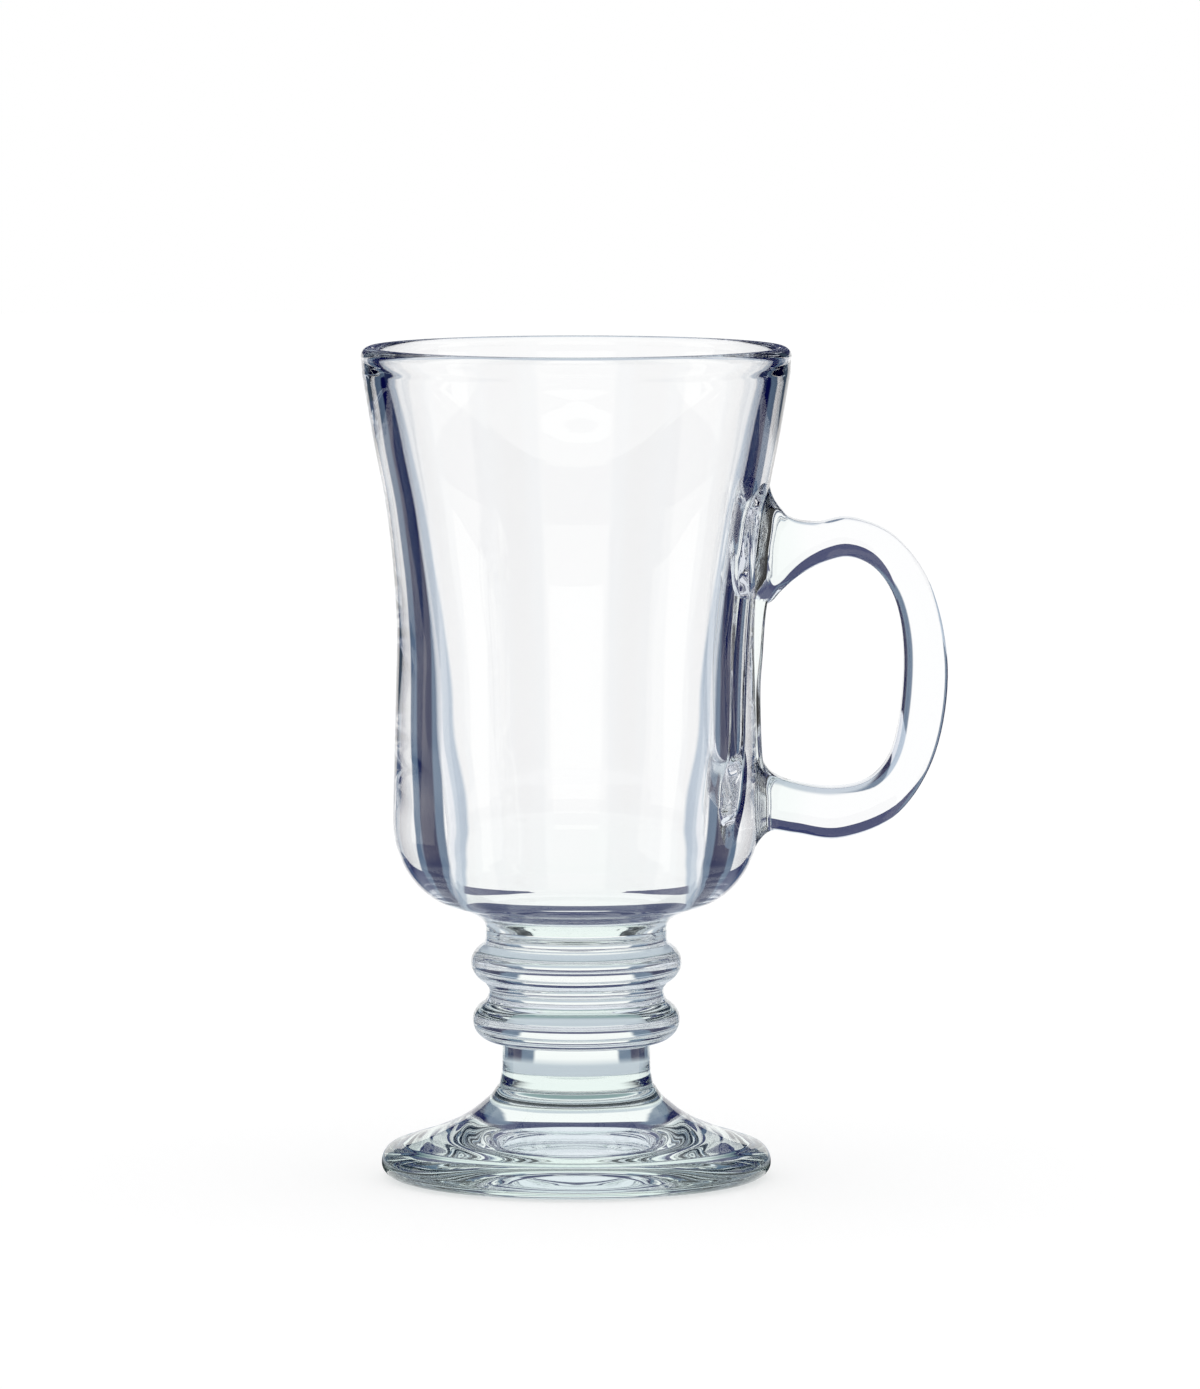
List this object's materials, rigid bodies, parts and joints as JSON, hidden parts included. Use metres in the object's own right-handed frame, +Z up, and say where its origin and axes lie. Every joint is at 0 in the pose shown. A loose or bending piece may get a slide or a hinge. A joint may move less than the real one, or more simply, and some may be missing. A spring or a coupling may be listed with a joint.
{
  "type": "irish coffee glass mug",
  "caption": "Clear footed glass mug with a flared bowl, an ear handle, a short ringed stem and a domed round foot.",
  "frame": {"origin": "centre of the resting ring, on the table plane", "axes": "+Z up the axis of the bowl, +X toward the handle"},
  "size_m": [0.1026, 0.0752, 0.146],
  "materials": {
    "clear_glass": "fire-polished clear glass",
    "handle_glass": "fire-polished clear glass",
    "stem_glass": "pressed clear glass, faint green in the thick",
    "foot_glass": "pressed clear glass, faint green in the thick"
  },
  "bodies": {
    "root": {"bowl": "clear_glass", "handle": "handle_glass", "stem": "stem_glass", "foot": "foot_glass"}
  },
  "joints": []
}
